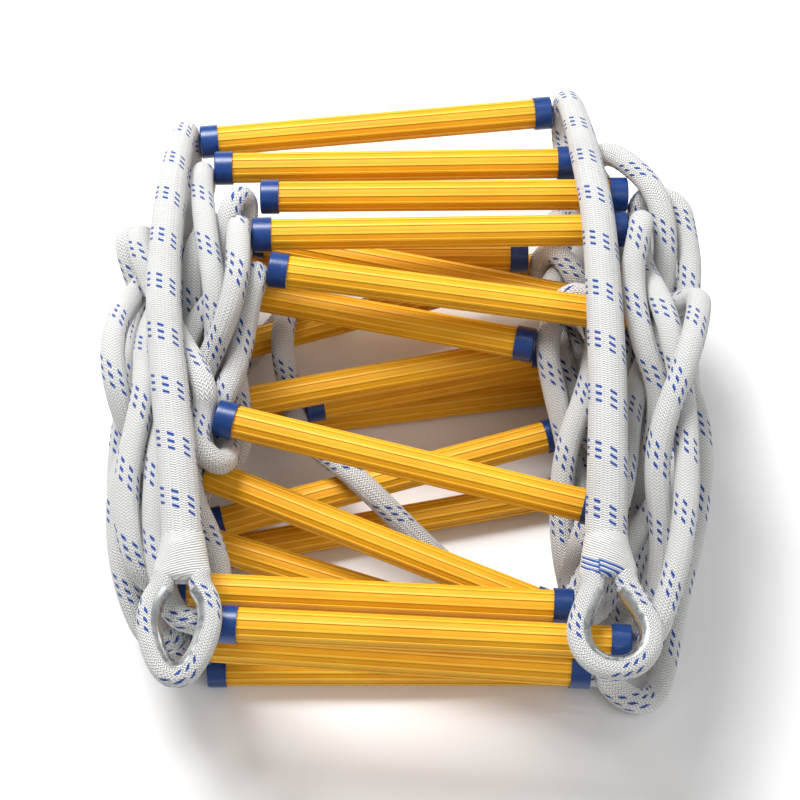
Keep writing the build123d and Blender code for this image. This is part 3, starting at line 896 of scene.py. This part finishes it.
for side in (LEFT, RIGHT):
    name, rope, tail, eye = NAMES[side], ropes[side], tails[side], eyes[side]
    tail_body = f"{name}_tail"
    hinge = contact_points(side)[0] * MM

    # Whipping: twine wound round the free end.
    wound = smooth_line(routes[side], TWINE_STEP)
    wound = wound[distances(wound) > distances(wound)[-1] - WHIPPING_LENGTH * MM]
    turns = distances(wound) / TWINE_PITCH
    thick = ROPE_D / 2 * MM + TWINE_BASE + TWINE_HEIGHT * np.abs(np.sin(turns * math.pi))
    whipping = Strand(wound, thick, closed=(False, False), sides=FINE_SIDES)
    whipping.rest_on_floor()
    whipping_obj = ring_mesh(f"{name}_rope_whipping", whipping.rings, whipping.v, twine,
                             (False, False))
    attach(whipping_obj, "root")
    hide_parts(f"{name}_end_whipping")

    rope_obj = rope.mesh_object(f"{name}_rope", slim_braid)
    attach(rope_obj, "root")
    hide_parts(f"{name}_side_rope")

    tail_obj = tail.mesh_object(f"{name}_tail_braid", wide_braid)
    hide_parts(f"{name}_tail_rope")
    tuple(hinge - (0, 0, BEND_BELOW))
    tuple(hinge + (0, 0, BEND_ABOVE))
    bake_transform(tail_obj)

    eye_obj = eye.mesh_object(f"{name}_eye_loop", slim_braid)
    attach(eye_obj, tail_body)
    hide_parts(f"{name}_eye_rope")

    # Throat: spliced yarns drawn tight from the round tail to the two legs side by side.
    outline = eye_outline(side)
    lead = np.array(TAILS[side][-2], float) - TAILS[side][-1]
    lead /= np.linalg.norm(lead)
    throat_end = (outline[0] + outline[-1]) / 2
    legs = outline[1] - outline[0]
    legs /= np.linalg.norm(legs)
    throat_line = smooth_line([TAILS[side][-1] + lead * THROAT_LEAD, np.array(TAILS[side][-1], float),
                               throat_end, throat_end + legs * THROAT_LIP[side]], THROAT_STEP)
    share = np.linspace(0, 1, len(throat_line))
    wide = np.interp(share, THROAT_STATIONS, THROAT_HALF_WIDTHS) * MM
    high = np.interp(share, THROAT_STATIONS, THROAT_HALF_HEIGHTS) * MM
    throat = Strand(throat_line, wide, closed=(False, False), sides=FINE_SIDES, height=high)
    throat_obj = ring_mesh(f"{name}_throat", throat.rings, throat.v, SPLICE[side])
    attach(throat_obj, tail_body)
    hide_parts(f"{name}_throat_binding")

    paint(f"{name}_thimble", zinc)

# ---- Floor, light and view transform ------------------------------------------------------
FLOOR_HALF = 6            # half of the floor's side
corners = [(-FLOOR_HALF, -FLOOR_HALF, 0), (FLOOR_HALF, -FLOOR_HALF, 0),
           (FLOOR_HALF, FLOOR_HALF, 0), (-FLOOR_HALF, FLOOR_HALF, 0)]
floor = bpy.data.objects.new("floor", bpy.data.meshes.new("floor"))
floor.data.from_pydata(corners, [], [(0, 1, 2, 3)])
bpy.context.scene.collection.objects.link(floor)
floor_paint, tree, shader = new_material("floor")
shader.inputs["Base Color"].default_value = (0.93, 0.93, 0.93, 1)
shader.inputs["Roughness"].default_value = 0.9
floor.data.materials.append(floor_paint)

world = bpy.data.worlds.new("studio")
bpy.context.scene.world = world
world.use_nodes = True
world.node_tree.nodes["Background"].inputs[0].default_value = (1.0, 1.0, 1.0, 1)
world.node_tree.nodes["Background"].inputs[1].default_value = 0.41


def soft_light(name, place, aim, size, power):
    """Square area light that points at a place."""
    lamp = bpy.data.lights.new(name, "AREA")
    lamp.size, lamp.energy = size, power
    holder = bpy.data.objects.new(name, lamp)
    holder.location = place
    holder.rotation_euler = (Vector(aim) - Vector(place)).to_track_quat("-Z", "Y").to_euler()
    bpy.context.scene.collection.objects.link(holder)


soft_light("key", (-0.6, 0.9, 1.8), (0, 0, 0.05), 0.9, 57)
soft_light("fill", (1.2, -0.8, 1.8), (0, 0, 0.05), 1.6, 12)
bpy.context.scene.view_settings.view_transform = "Standard"
